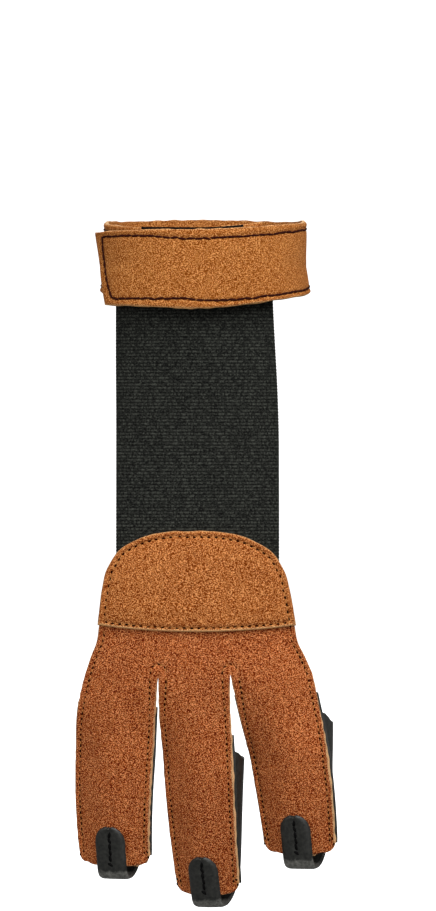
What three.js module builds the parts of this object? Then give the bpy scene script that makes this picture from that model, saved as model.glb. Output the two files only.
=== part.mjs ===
// Archery glove for the right hand: wrist strap, elastic, yoke and three covered fingers.
// Millimetres, +Z up the arm, fingers down, the back of the hand towards -Y, the thumb side +X.
// The origin is the middle of the wrist hole.
import * as THREE from 'three';

// Stock
const suede = 1.4;
const leather = 1.2;
const webbing = 1.3;
const tape = 0.8;
const clearance = 0.3;

// Hand that the glove is shaped on
const wristHalfWidth = 28.8;
const wristHalfDepth = 20.4;
const knuckleHalfWidth = 48;
const knuckleHeight = 23;
const knuckleDrop = 110;
const sectionSquareness = 2.4;
const fingerReach = 100;
const fingerCurl = 23;

// From the wrist down to the knuckles, as shares of knuckleDrop: how far the half width has grown
// and the back has risen from the wrist's sizes (0) to the knuckles' sizes (1)
const backOfHand = [
  { at: 0.0, spread: 0.0, rise: 0.0 },
  { at: 0.27, spread: 0.27, rise: -0.3 },
  { at: 0.55, spread: 0.69, rise: -0.1 },
  { at: 0.85, spread: 0.94, rise: 0.9 },
  { at: 1.0, spread: 1.0, rise: 1.0 },
];

// Below the knuckles, as shares of fingerReach: how much of fingerCurl the fingers have sunk
const curlOfFingers = [
  { at: 0.0, sink: 0.0 },
  { at: 0.21, sink: 0.09 },
  { at: 0.4, sink: 0.24 },
  { at: 0.65, sink: 0.5 },
  { at: 1.0, sink: 1.0 },
];

// Wrist strap
const strapWidth = 25.3;
const strapPalmWidth = 22.6;
const strapNarrowing = 120;
const strapDorsalCentre = -1.65;
const strapRise = 5.5;
const strapPalmRise = 2;
const strapEndRise = 1.2;
const strapLift = 2.2;
const strapLiftStart = 270;
const strapLiftEnd = 400;
const strapFreeEnd = -75;
const strapFreeEndSlant = 11;
const strapSlantRun = 60;
const strapInnerEnd = 408;
const strapLapEnd = 52;
const strapLapRun = 110;
const strapClimbStart = 250;
const strapClimbEnd = 290;
const strapStep = 6;

// Fastening tapes between the strap's two turns
const tapeWidth = 24.6;
const loopTapeLift = 1.0;
const hookTapeInset = 2.6;
const tapeStart = -44;
const tapeEnd = 34;

// Elastic
const webWidth = 49;
const webCentre = -2.1;
const webSpread = 2.7;
const webTop = 9;
const webTuck = 7.6;

// Yoke
const yokeWidth = 62;
const yokeCentre = -0.95;
const yokeSeam = 115;
const yokeHeight = 29.8;
const yokeSag = 1.9;
const yokeLean = -0.8;

// Dome of the yoke: share of yokeHeight above the seam, share of yokeWidth there
const yokeDome = [
  { at: 0.0, width: 1.0 },
  { at: 0.2, width: 0.97 },
  { at: 0.4, width: 0.94 },
  { at: 0.6, width: 0.885 },
  { at: 0.79, width: 0.76 },
  { at: 0.91, width: 0.58 },
  { at: 0.97, width: 0.41 },
  { at: 1.0, width: 0.2 },
];

// Finger panel
const panelTuck = 5;
const panelTuckInset = 1.4;
const rowCrowding = 1.25;
const slitDrop = 15.6;
const panelSpread = [
  { at: 0.0, open: 0.0 },
  { at: 0.35, open: 0.18 },
  { at: 0.65, open: 0.58 },
  { at: 1.0, open: 1.0 },
];

// Fingers. The strip: its length below the slits, its width there and at its widest, how far the
// tip leans and the middle bows to the thumb side. The stall: its length from the mouth to the tip,
// the tongues above its mouth, how far the mouth flares to the thumb side and how soon that ends.
// The loop at the tip: how far it hangs below the strip, and how far it leans to the thumb side.
const fingers = [
  {
    name: 'ring',
    length: 63.4,
    rootWidth: 23.2,
    bellyWidth: 25.6,
    lean: -3.4,
    bow: -2.0,
    stall: 42.5,
    tongue: 10,
    flare: 0.7,
    flareFall: 2,
    loopDrop: 6,
    loopLean: 0.4,
  },
  {
    name: 'middle',
    length: 73.2,
    rootWidth: 22.8,
    bellyWidth: 22.9,
    lean: 4,
    bow: -1.1,
    stall: 42.5,
    tongue: 10,
    flare: 3.8,
    flareFall: 0.7,
    loopDrop: 5.8,
    loopLean: 1.7,
  },
  {
    name: 'index',
    length: 59.5,
    rootWidth: 26.2,
    bellyWidth: 25.8,
    lean: 9.2,
    bow: 1,
    stall: 39,
    tongue: 13.5,
    flare: 3.8,
    flareFall: 2.5,
    loopDrop: 6.7,
    loopLean: 1.2,
  },
];
const rootLeft = -36.4;
const fingerCrown = 3.4;
const fingerTwist = 14;
const frameRun = 30;
const frameStep = 1;
const tipCorner = 3.2;

// Width of a finger strip: share of its length, how far it has gone from the root width to the
// belly width, and the taper towards the tip
const stripTaper = [
  { at: 0.0, belly: 0.0, taper: 1.0 },
  { at: 0.2, belly: 0.75, taper: 1.0 },
  { at: 0.4, belly: 1.0, taper: 1.0 },
  { at: 0.65, belly: 1.0, taper: 0.975 },
  { at: 0.88, belly: 1.0, taper: 0.93 },
  { at: 1.0, belly: 1.0, taper: 0.9 },
];

// Stalls. The fold's shares say how it turns from the flange to the cup, and the tongue's shares
// how far its edge has fallen at the shoulder and over which part of the cup it ends.
const stallShort = 2.6;
const stallFlange = 3.3;
const stallInset = 2.5;
const stallTaper = 0.5;
const stallProud = 0.5;
const stallPeep = 0.3;
const stallDepth = 17;
const stallTipDepth = 14.6;
const stallSquareness = 2.6;
const stallShoulder = 0.52;
const foldReach = 1.5;
const foldSink = 0.45;
const foldTurn = 0.5;
const tongueShoulder = 0.4;
const tongueEnd = 0.3;

// Tip straps
const tipWidth = 9.3;
const tipRise = 13.4;
const tipPalmRun = 9;
const tipInset = 0.5;
const loopSquareness = 0.8;

const degree = Math.PI / 180;

// Smooth curve through one column of a table, level beyond its ends
function follow(table, at, column) {
  const last = table.length - 1;
  if (at <= table[0].at) return table[0][column];
  if (at >= table[last].at) return table[last][column];
  let k = 0;
  while (at > table[k + 1].at) k += 1;
  const slope = (i) => {
    const before = table[Math.max(i - 1, 0)];
    const after = table[Math.min(i + 1, last)];
    return (after[column] - before[column]) / (after.at - before.at);
  };
  const span = table[k + 1].at - table[k].at;
  const t = (at - table[k].at) / span;
  const rest = 1 - t;
  const start = table[k][column] * (1 + 2 * t) * rest * rest + slope(k) * span * t * rest * rest;
  const end = table[k + 1][column] * (3 - 2 * t) * t * t - slope(k + 1) * span * t * t * rest;
  return start + end;
}

function smoothstep(from, to, value) {
  const t = Math.min(Math.max((value - from) / (to - from), 0), 1);
  return t * t * (3 - 2 * t);
}

function mix(a, b, t) {
  return a + (b - a) * t;
}

// Grid of points: rows run away from the wrist, columns towards the thumb
function grid(rows, columns, place) {
  const points = [];
  for (let r = 0; r <= rows; r += 1) {
    const line = [];
    for (let c = 0; c <= columns; c += 1) line.push(place(r / rows, c / columns));
    points.push(line);
  }
  return points;
}

// A sheet of even thickness. The grids share the points where they join. The material lies from
// one height to another over the grids' surface, along its outward normal.
function sheet(grids, from, to) {
  const found = new Map();
  const points = [];
  const quads = [];
  const indexOf = (p) => {
    const key = [p.x, p.y, p.z].map((value) => Math.round(value * 1e4)).join(' ');
    if (!found.has(key)) {
      found.set(key, points.length);
      points.push(p);
    }
    return found.get(key);
  };
  for (const rows of grids) {
    for (let r = 0; r + 1 < rows.length; r += 1) {
      for (let c = 0; c + 1 < rows[r].length; c += 1) {
        const corners = [rows[r][c], rows[r + 1][c], rows[r + 1][c + 1], rows[r][c + 1]];
        quads.push(corners.map(indexOf));
      }
    }
  }
  const normals = points.map(() => new THREE.Vector3());
  for (const [a, b, c, d] of quads) {
    const across = points[c].clone().sub(points[a]);
    const along = points[d].clone().sub(points[b]);
    const normal = across.cross(along);
    for (const k of [a, b, c, d]) normals[k].add(normal);
  }
  const count = points.length;
  const position = [];
  for (const height of [from, to]) {
    points.forEach((p, k) => {
      const placed = p.clone().addScaledVector(normals[k].clone().normalize(), height);
      position.push(placed.x, placed.y, placed.z);
    });
  }
  const index = [];
  const sides = new Set();
  for (const [a, b, c, d] of quads) {
    index.push(count + a, count + b, count + c, count + a, count + c, count + d);
    index.push(a, c, b, a, d, c);
    for (const side of [[a, b], [b, c], [c, d], [d, a]]) sides.add(side.join(' '));
  }
  for (const side of sides) {
    const [a, b] = side.split(' ').map(Number);
    if (!sides.has(`${b} ${a}`)) index.push(a, b, count + b, a, count + b, count + a);
  }
  const geometry = new THREE.BufferGeometry();
  geometry.setAttribute('position', new THREE.Float32BufferAttribute(position, 3));
  geometry.setIndex(index);
  geometry.computeVertexNormals();
  return geometry;
}

// Section of the hand at a height: half width and half depth of a squared oval
function handSection(z) {
  const down = -z / knuckleDrop;
  const spread = follow(backOfHand, down, 'spread');
  const rise = follow(backOfHand, down, 'rise');
  const sink = follow(curlOfFingers, (-z - knuckleDrop) / fingerReach, 'sink');
  return {
    halfWidth: mix(wristHalfWidth, knuckleHalfWidth, spread),
    halfDepth: mix(wristHalfDepth, knuckleHeight, rise) - fingerCurl * sink,
  };
}

// Point on the back of the hand
function onBack(x, z) {
  const { halfWidth, halfDepth } = handSection(z);
  const share = Math.min(Math.abs(x) / halfWidth, 1);
  const crown = (1 - share ** sectionSquareness) ** (1 / sectionSquareness);
  return new THREE.Vector3(x, -halfDepth * crown, z);
}

// Point round the wrist, a distance out from the skin: angle 0 is the back of the wrist
function roundWrist(angle, z, out) {
  const { halfWidth, halfDepth } = handSection(z);
  const across = Math.sin(angle * degree);
  const front = Math.cos(angle * degree);
  const power = sectionSquareness;
  const sum = Math.abs(across / halfWidth) ** power + Math.abs(front / halfDepth) ** power;
  const radius = sum ** (-1 / power);
  const x = across * radius;
  const y = -front * radius;
  const normal = new THREE.Vector3(
    (Math.sign(x) * Math.abs(x / halfWidth) ** (power - 1)) / halfWidth,
    (Math.sign(y) * Math.abs(y / halfDepth) ** (power - 1)) / halfDepth,
    0,
  ).normalize();
  return new THREE.Vector3(x, y, z).addScaledVector(normal, out);
}

// Height of the strap's middle at an angle: its ring rises towards the palm side, its free end
// runs straighter, and its inner turn ends higher than the outer one
function strapCentre(angle) {
  const front = Math.cos(angle * degree);
  const rise = (angle < 0 ? strapEndRise : strapRise) * (1 - Math.max(front, 0));
  const palm = strapPalmRise * Math.max(-front, 0);
  const lift = strapLift * smoothstep(strapLiftStart, strapLiftEnd, angle);
  return strapDorsalCentre + rise + palm + lift;
}

// Wrist strap: one and a third turns, the free end outside
const innerTurn = webbing + clearance;
const loopTapeSeat = innerTurn + suede + clearance;
const hookTapeSeat = loopTapeSeat + tape + clearance;
const outerTurn = hookTapeSeat + tape + clearance;

function strapSeat(angle) {
  const onSkin = mix(outerTurn, 0, smoothstep(strapLapEnd, strapLapEnd + strapLapRun, angle));
  return mix(onSkin, innerTurn, smoothstep(strapClimbStart, strapClimbEnd, angle));
}

function wristStrap() {
  const columns = Math.round((strapInnerEnd - strapFreeEnd) / strapStep);
  const rows = grid(4, columns, (down, round) => {
    const flat = mix(strapFreeEnd, strapInnerEnd, round);
    const slant = strapFreeEndSlant * (1 - smoothstep(0, strapSlantRun, flat - strapFreeEnd));
    const angle = flat + slant * down;
    const narrowed = smoothstep(0, strapNarrowing, Math.abs(angle));
    const width = mix(strapWidth, strapPalmWidth, narrowed);
    const z = strapCentre(angle) + width * (0.5 - down);
    return roundWrist(angle, z, strapSeat(angle));
  });
  return sheet([rows], 0, suede);
}

function fasteningTape(seat, width, lift) {
  const columns = Math.round((tapeEnd - tapeStart) / strapStep);
  const rows = grid(4, columns, (down, round) => {
    const angle = mix(tapeStart, tapeEnd, round);
    const z = strapCentre(angle) + lift + width * (0.5 - down);
    return roundWrist(angle, z, seat);
  });
  return sheet([rows], 0, tape);
}

// Elastic from inside the strap to under the yoke
const webEnd = -(yokeSeam - webTuck);

function elasticWeb() {
  const rows = grid(16, 16, (down, across) => {
    const z = mix(webTop, webEnd, down);
    const spread = webSpread * smoothstep(0, 0.6, down);
    const x = webCentre + (webWidth + spread) * (across - 0.5) + spread / 2;
    return onBack(x, z);
  });
  return sheet([rows], 0, webbing);
}

// Yoke over the end of the elastic and the top of the panel
function yoke() {
  const rows = grid(14, 16, (down, across) => {
    const up = 1 - down;
    const side = across * 2 - 1;
    const half = (yokeWidth / 2) * follow(yokeDome, up, 'width');
    const x = yokeCentre + yokeLean * up + half * side;
    const sag = yokeSag * (1 - side * side) * (1 - smoothstep(0, 0.5, up));
    return onBack(x, -yokeSeam + yokeHeight * up - sag);
  });
  const under = Math.max(webbing, suede) + clearance;
  return sheet([rows], under, under + suede);
}

// Finger strips: the surface of the back of each finger, which the strip lies on
const slitHeight = -(yokeSeam + slitDrop);
fingers.forEach((finger, k) => {
  const before = fingers.slice(0, k).reduce((sum, other) => sum + other.rootWidth, 0);
  finger.rootCentre = rootLeft + before + finger.rootWidth / 2;
});

function fullHalf(finger, down) {
  const share = down / finger.length;
  const belly = follow(stripTaper, share, 'belly');
  const taper = follow(stripTaper, share, 'taper');
  return (mix(finger.rootWidth, finger.bellyWidth, belly) * taper) / 2;
}

function halfStrip(finger, down) {
  const corner = Math.min(Math.max(down - finger.length + tipCorner, 0) / tipCorner, 1);
  return fullHalf(finger, down) - tipCorner * (1 - Math.sqrt(1 - corner * corner));
}

// Fall of the strip's surface from the finger's middle line: crowned there, level at the seams
function crownFall(finger, side, down) {
  const share = Math.min(Math.abs(side) / fullHalf(finger, down), 1);
  return fingerCrown * share ** 2 * (2 - share ** 2);
}

function crownSlope(finger, side, down) {
  const half = fullHalf(finger, down);
  const share = Math.min(Math.abs(side) / half, 1);
  return (fingerCrown * 4 * share * (1 - share ** 2)) / half;
}

function spine(finger, down) {
  const share = down / finger.length;
  const bow = finger.bow * 4 * share * (1 - share);
  return onBack(finger.rootCentre + finger.lean * share + bow, slitHeight - down);
}

// Frame of a finger: origin on its back, across to the thumb side, deep to the palm side
function fingerFrame(finger, down) {
  const along = spine(finger, down + frameStep).sub(spine(finger, down - frameStep)).normalize();
  const twist = fingerTwist * degree * smoothstep(0, frameRun, down);
  const across = new THREE.Vector3(Math.cos(twist), -Math.sin(twist), 0);
  across.addScaledVector(along, -across.dot(along)).normalize();
  const deep = across.clone().cross(along);
  return { origin: spine(finger, down), along, across, deep };
}

// Point on the back of a finger: side is the distance across from its middle
function onFinger(finger, side, down) {
  const flat = Math.min(down, finger.length);
  const { origin, along, across, deep } = fingerFrame(finger, flat);
  const own = origin.clone().addScaledVector(across, side);
  own.addScaledVector(deep, crownFall(finger, side, flat));
  const shared = onBack(origin.x + side, origin.z);
  const point = shared.lerp(own, smoothstep(0, frameRun, flat));
  return point.addScaledVector(along, down - flat);
}

// Point at a depth below the level of the finger's middle line
function inFinger(finger, side, depth, down) {
  const { deep } = fingerFrame(finger, Math.min(down, finger.length));
  const below = depth - crownFall(finger, side, Math.min(down, finger.length));
  return onFinger(finger, side, down).addScaledVector(deep, below);
}

// Finger panel: a body under the yoke that parts into three strips at the slits
function fingerPanel() {
  const columns = 6;
  const top = -yokeSeam + panelTuck;
  const rootRight = rootLeft + fingers.reduce((sum, finger) => sum + finger.rootWidth, 0);
  const seamLeft = yokeCentre - yokeWidth / 2;
  const seamRight = yokeCentre + yokeWidth / 2;
  const grids = [];
  for (const finger of fingers) {
    const body = grid(5, columns, (down, across) => {
      const z = mix(top, slitHeight, down);
      const open = follow(panelSpread, (-z - yokeSeam) / slitDrop, 'open');
      const x = finger.rootCentre + finger.rootWidth * (across - 0.5);
      const share = (x - rootLeft) / (rootRight - rootLeft);
      const inset = panelTuckInset * Math.max((z + yokeSeam) / panelTuck, 0);
      const left = mix(seamLeft, rootLeft, open) + inset;
      const right = mix(seamRight, rootRight, open) - inset;
      return onBack(mix(left, right, share), z);
    });
    const strip = grid(24, columns, (share, across) => {
      const eased = 1 - (1 - share) ** rowCrowding;
      const down = finger.length * eased;
      return onFinger(finger, halfStrip(finger, down) * (across * 2 - 1), down);
    });
    grids.push(body, strip);
  }
  return sheet(grids, 0, suede);
}

// How far down a stall a point lies: 0 at its mouth, 1 at its tip
function stallShare(finger, down) {
  const start = finger.length - finger.stall;
  return Math.min(Math.max((down - start) / (finger.stall - stallShort), 0), 1);
}

function cupDepth(finger, down) {
  return mix(stallDepth, stallTipDepth, stallShare(finger, down));
}

const cupSteps = 6;

// Section of a stall across the finger, from one flange round the palm side to the other. Each
// entry is side, depth and how much of the tongue it has. The flange lies under the strip.
function stallSection(finger, down) {
  const share = stallShare(finger, down);
  const edge = halfStrip(finger, Math.min(down, finger.length - stallShort));
  const half = finger.bellyWidth / 2 - stallInset - stallTaper * share;
  const deepest = cupDepth(finger, down) - leather / 2;
  const under = clearance + leather / 2;
  const flangePoint = (side) => {
    const slope = crownSlope(finger, side, down);
    const length = Math.hypot(1, slope);
    const depth = crownFall(finger, side, down);
    return [side - (under * slope) / length, depth + under / length];
  };
  const inner = flangePoint(edge - stallFlange);
  const middle = (deepest + inner[1]) / 2;
  const reach = deepest - middle;
  const halves = [-1, 1].map((hand) => {
    const flare = hand > 0 ? finger.flare * (1 - share) ** finger.flareFall : 0;
    const wide = half + flare;
    const outer = flangePoint(edge + (hand > 0 ? stallProud : stallPeep));
    const cup = (angle) => {
      const power = 2 / stallSquareness;
      const depth = middle + Math.sign(Math.sin(angle)) * reach * Math.abs(Math.sin(angle)) ** power;
      return [wide * Math.abs(Math.cos(angle)) ** power, depth];
    };
    const shoulder = cup(-stallShoulder);
    const fold = new THREE.CubicBezierCurve(
      new THREE.Vector2(...inner),
      new THREE.Vector2(inner[0] - foldReach, inner[1] - foldReach * foldSink),
      new THREE.Vector2(shoulder[0] - foldReach * foldTurn, shoulder[1] - foldReach),
      new THREE.Vector2(...shoulder),
    );
    const line = [[...outer, 1]];
    line.push([(outer[0] + inner[0]) / 2, (outer[1] + inner[1]) / 2, 1]);
    for (const t of [0, 0.3, 0.55, 0.78, 1]) {
      const point = fold.getPoint(t);
      line.push([point.x, point.y, mix(1, tongueShoulder, t)]);
    }
    for (let k = 1; k <= cupSteps; k += 1) {
      const down = k / cupSteps;
      const angle = mix(-stallShoulder, Math.PI / 2, down);
      line.push([...cup(angle), tongueShoulder * (1 - smoothstep(0, tongueEnd, down))]);
    }
    return line.map(([side, depth, tongue]) => [side * hand, depth, tongue]);
  });
  return [...halves[0], ...halves[1].reverse().slice(1)];
}

function stall(finger) {
  const start = finger.length - finger.stall;
  const end = finger.length - stallShort;
  const count = stallSection(finger, end).length - 1;
  const rows = grid(11, count, (share, round) => {
    const k = Math.round(round * count);
    const tongue = finger.tongue * stallSection(finger, start)[k][2];
    const down = mix(start - tongue, end, share);
    const [side, depth] = stallSection(finger, down)[k];
    return inFinger(finger, side, depth, down);
  });
  return sheet([rows], -leather / 2, leather / 2);
}

// Tip strap: up the face of the strip, round the tip and up the palm side of the stall
function tipStrapPath(finger) {
  const out = -(suede + clearance + leather / 2);
  const stallBack = stallTipDepth + clearance + leather / 2;
  const end = finger.length - tipInset;
  const middle = (out + stallBack) / 2;
  const reach = (stallBack - out) / 2;
  const drop = finger.loopDrop - leather / 2 + tipInset;
  const path = [];
  const face = tipRise - tipInset;
  for (const share of [0, 0.06, 0.16, 0.34, 0.55, 0.78]) {
    const down = end - face * (1 - share);
    path.push({ down, depth: out, from: face * share, crown: 1, lean: 0 });
  }
  for (let k = 0; k <= 12; k += 1) {
    const angle = (k / 12) * Math.PI;
    const along = face + reach * angle;
    path.push({
      down: end + drop * Math.sin(angle) ** loopSquareness,
      depth: middle - reach * Math.cos(angle),
      from: along,
      crown: 1 - smoothstep(0, 5, k),
      lean: 0.5 - 0.5 * Math.cos(angle),
    });
  }
  for (const share of [0.3, 0.6, 0.84, 0.94, 1]) {
    const down = end - tipPalmRun * share;
    const depth = cupDepth(finger, down) + clearance + leather / 2;
    path.push({ down, depth, from: tipWidth, crown: 0, lean: 1 });
  }
  const count = path.length;
  path.forEach((point, k) => {
    const left = k < 6 ? point.from : k > count - 6 ? point.down - (end - tipPalmRun) : tipWidth;
    const round = Math.min(Math.max(left / (tipWidth / 2), 0) + 0.06, 1);
    point.half = (tipWidth / 2) * Math.sqrt(1 - (1 - round) ** 2);
  });
  return path;
}

function tipStrap(finger) {
  const path = tipStrapPath(finger);
  const rows = path.map(({ down, depth, half, crown, lean }) => {
    const line = [];
    for (let c = 0; c <= 4; c += 1) {
      const side = finger.loopLean * lean + half * (c / 2 - 1);
      const curve = crown * crownFall(finger, side, Math.min(down, finger.length));
      line.push(inFinger(finger, side, depth + curve, down));
    }
    return line;
  });
  return sheet([rows], -leather / 2, leather / 2);
}

// The glove
const finishes = {
  tanSuede: new THREE.MeshStandardMaterial({ color: 0xb2703a, roughness: 0.95, metalness: 0 }),
  russetSuede: new THREE.MeshStandardMaterial({ color: 0x9b5428, roughness: 0.95, metalness: 0 }),
  blackLeather: new THREE.MeshStandardMaterial({ color: 0x2d2e2c, roughness: 0.45, metalness: 0 }),
  elastic: new THREE.MeshStandardMaterial({ color: 0x242623, roughness: 0.9, metalness: 0 }),
  tape: new THREE.MeshStandardMaterial({ color: 0x151515, roughness: 0.95, metalness: 0 }),
};

const glove = new THREE.Group();

function addPiece(name, geometry, finish) {
  const mesh = new THREE.Mesh(geometry, finish);
  mesh.name = name;
  glove.add(mesh);
}

addPiece('wrist_strap', wristStrap(), finishes.tanSuede);
addPiece('hook_tape', fasteningTape(hookTapeSeat, tapeWidth - hookTapeInset, 0), finishes.tape);
addPiece('loop_tape', fasteningTape(loopTapeSeat, tapeWidth, loopTapeLift), finishes.tape);
addPiece('elastic_web', elasticWeb(), finishes.elastic);
addPiece('yoke', yoke(), finishes.tanSuede);
addPiece('finger_panel', fingerPanel(), finishes.russetSuede);
for (const finger of fingers) {
  addPiece(`stall_${finger.name}`, stall(finger), finishes.blackLeather);
  addPiece(`tip_strap_${finger.name}`, tipStrap(finger), finishes.blackLeather);
}

export default glove;
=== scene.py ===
import math

import bmesh
import bpy
import numpy as np
from mathutils import Matrix, Vector


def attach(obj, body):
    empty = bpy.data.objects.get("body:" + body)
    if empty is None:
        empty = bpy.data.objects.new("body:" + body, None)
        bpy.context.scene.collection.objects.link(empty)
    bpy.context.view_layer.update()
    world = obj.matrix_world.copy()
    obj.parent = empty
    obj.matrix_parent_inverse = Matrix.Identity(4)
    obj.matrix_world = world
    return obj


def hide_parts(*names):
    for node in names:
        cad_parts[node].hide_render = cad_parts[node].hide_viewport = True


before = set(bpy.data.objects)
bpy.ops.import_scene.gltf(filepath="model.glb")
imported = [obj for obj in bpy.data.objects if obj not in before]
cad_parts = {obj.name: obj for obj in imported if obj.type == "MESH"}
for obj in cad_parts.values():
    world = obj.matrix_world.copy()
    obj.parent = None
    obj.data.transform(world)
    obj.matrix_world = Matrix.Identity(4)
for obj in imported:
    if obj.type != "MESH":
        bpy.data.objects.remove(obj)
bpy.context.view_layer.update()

# Studio. The glove hangs upright with its back to the camera, over a white floor that sweeps up
# behind it. A broad soft light stands above on the right, with weaker ones left, below and behind.
scene = bpy.context.scene
scene.view_settings.view_transform = "Standard"
camera = bpy.data.objects.new("camera", bpy.data.cameras.new("camera"))
camera.location = (0.00576, -1.1, -0.06096)
camera.rotation_euler = (math.radians(90), 0, 0)
photo_height, pixel = 911, 0.00032
glove_distance = 1.082
camera.data.sensor_width = 36
camera.data.lens = 36 * glove_distance / (photo_height * pixel)
camera.data.clip_start = 0.05
scene.collection.objects.link(camera)
scene.camera = camera


def fill(made, inputs):
    """Fills a node's inputs with values, or joins them to sockets."""
    for key, value in dict(inputs).items():
        if isinstance(value, bpy.types.NodeSocket):
            made.id_data.links.new(value, made.inputs[key])
        else:
            made.inputs[key].default_value = value


def node(tree, kind, inputs=(), **settings):
    """A shader node with its settings and its inputs filled."""
    made = tree.nodes.new("ShaderNode" + kind)
    for key, value in settings.items():
        setattr(made, key, value)
    fill(made, inputs)
    return made


def linear(red, green, blue):
    """A colour from its screen values of 0 to 255."""
    screen = [value / 255 for value in (red, green, blue)]
    return (*(v / 12.92 if v <= 0.04045 else ((v + 0.055) / 1.055) ** 2.4 for v in screen), 1)


def blank(name):
    """A new material, its tree and its shader."""
    finish = bpy.data.materials.new(name)
    finish.use_nodes = True
    return finish, finish.node_tree, finish.node_tree.nodes["Principled BSDF"]


paper, _, shader = blank("studio_paper")
fill(shader, {"Base Color": (0.86, 0.86, 0.86, 1), "Roughness": 0.9})
fill(shader, {"Emission Color": (1, 1, 1, 1), "Emission Strength": 1})
bm = bmesh.new()
bmesh.ops.create_grid(bm, x_segments=2, y_segments=60, size=4.0)
floor_height, sweep_start, sweep_radius = -0.213, 2.4, 0.7
for vert in bm.verts:
    run = vert.co.y - sweep_start
    if run <= 0:
        vert.co.z = floor_height
        continue
    turn = min(run / sweep_radius, math.pi / 2)
    over = max(run - sweep_radius * math.pi / 2, 0)
    vert.co.y = sweep_start + sweep_radius * math.sin(turn)
    vert.co.z = floor_height + sweep_radius * (1 - math.cos(turn)) + over
sweep = bpy.data.objects.new("studio_sweep", bpy.data.meshes.new("studio_sweep"))
bm.to_mesh(sweep.data)
bm.free()
sweep.data.materials.append(paper)
sweep.data.shade_smooth()
scene.collection.objects.link(sweep)
sweep.visible_diffuse = sweep.visible_glossy = False

aim = Vector((0, 0, -0.08))
for name, place, size, power in (
    ("key", (0.56, -0.85, 0.84), 1.1, 20),
    ("fill", (-1.0, -1.0, 0.3), 0.9, 7),
    ("low", (0.5, -1.1, -0.5), 0.6, 2.5),
    ("back", (-0.4, 1.2, 0.6), 0.9, 7),
):
    lamp = bpy.data.objects.new(name, bpy.data.lights.new(name, "AREA"))
    lamp.data.size = size
    lamp.data.energy = power
    lamp.location = place
    lamp.rotation_euler = (aim - Vector(place)).to_track_quat("-Z", "Y").to_euler()
    scene.collection.objects.link(lamp)
world = bpy.data.worlds.new("studio")
world.use_nodes = True
fill(world.node_tree.nodes["Background"], {"Color": (1, 1, 1, 1), "Strength": 0.2})
scene.world = world

# Elastic. Wide woven elastic with a cross rib and a firm selvedge, in black, sewn under the wrist
# strap and under the yoke. It lies on the back of the hand. Sizes are in millimetres.
webbing = 1.3
web_width, web_centre, web_spread = 49, -2.1, 2.7
web_top, web_end = 9, -107.4
web_rib, web_selvedge = 1.05, 1.2
knuckle_drop, finger_reach, finger_curl = 110, 100, 23
wrist_half_width, wrist_half_depth = 28.8, 20.4
knuckle_half_width, knuckle_height = 48, 23
squareness = 2.4
hand_spread = ((0, 0), (0.27, 0.27), (0.55, 0.69), (0.85, 0.94), (1, 1))
hand_rise = ((0, 0), (0.27, -0.3), (0.55, -0.1), (0.85, 0.9), (1, 1))
hand_sink = ((0, 0), (0.21, 0.09), (0.4, 0.24), (0.65, 0.5), (1, 1))
uv_width, uv_length = 100, 250


def follow(table, at):
    """Smooth curve through a table's pairs, level beyond its ends."""
    x, y = np.array(table, float).T
    last = len(x) - 1
    at = np.clip(at, x[0], x[-1])
    lower = np.maximum(np.arange(last + 1) - 1, 0)
    upper = np.minimum(np.arange(last + 1) + 1, last)
    slope = (y[upper] - y[lower]) / (x[upper] - x[lower])
    k = np.clip(np.searchsorted(x, at) - 1, 0, last - 1)
    span = x[k + 1] - x[k]
    t = (at - x[k]) / span
    start = y[k] * (1 + 2 * t) * (1 - t) ** 2 + slope[k] * span * t * (1 - t) ** 2
    return start + y[k + 1] * (3 - 2 * t) * t * t - slope[k + 1] * span * t * t * (1 - t)


def ease(low, high, value):
    t = np.clip((value - low) / (high - low), 0, 1)
    return t * t * (3 - 2 * t)


def mix(a, b, t):
    return a + (b - a) * t


def hand_section(z):
    """Half width and half depth of the hand at a height."""
    down = -z / knuckle_drop
    sink = follow(hand_sink, (-z - knuckle_drop) / finger_reach)
    wide = mix(wrist_half_width, knuckle_half_width, follow(hand_spread, down))
    deep = mix(wrist_half_depth, knuckle_height, follow(hand_rise, down))
    return wide, deep - finger_curl * sink


def on_back(x, z):
    """Points on the back of the hand."""
    wide, deep = hand_section(z)
    share = np.minimum(np.abs(x) / wide, 1)
    y = -deep * (1 - share**squareness) ** (1 / squareness)
    return np.stack(np.broadcast_arrays(x, y, z), -1)


def unit(vectors):
    return vectors / np.maximum(np.linalg.norm(vectors, axis=-1, keepdims=True), 1e-9)


def outward(face, p, q, step=0.4):
    """The way out of a surface at points of it: p runs to the thumb, q away from the wrist."""
    along = face(p, q + step) - face(p, q - step)
    across = face(p + step, q) - face(p - step, q)
    return unit(np.cross(along, across))


def uneven(p, q, seed, wave, size):
    """Low swells in a hide or cloth, from a few crossing waves."""
    chance = np.random.default_rng(seed)
    total = 0
    for _ in range(7):
        turn, phase = chance.uniform(0, 2 * math.pi, 2)
        long = wave * chance.uniform(0.7, 1.6)
        along = (p * math.cos(turn) + q * math.sin(turn)) * 2 * math.pi / long
        total = total + np.sin(along + phase)
    return size * total / 7


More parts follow.
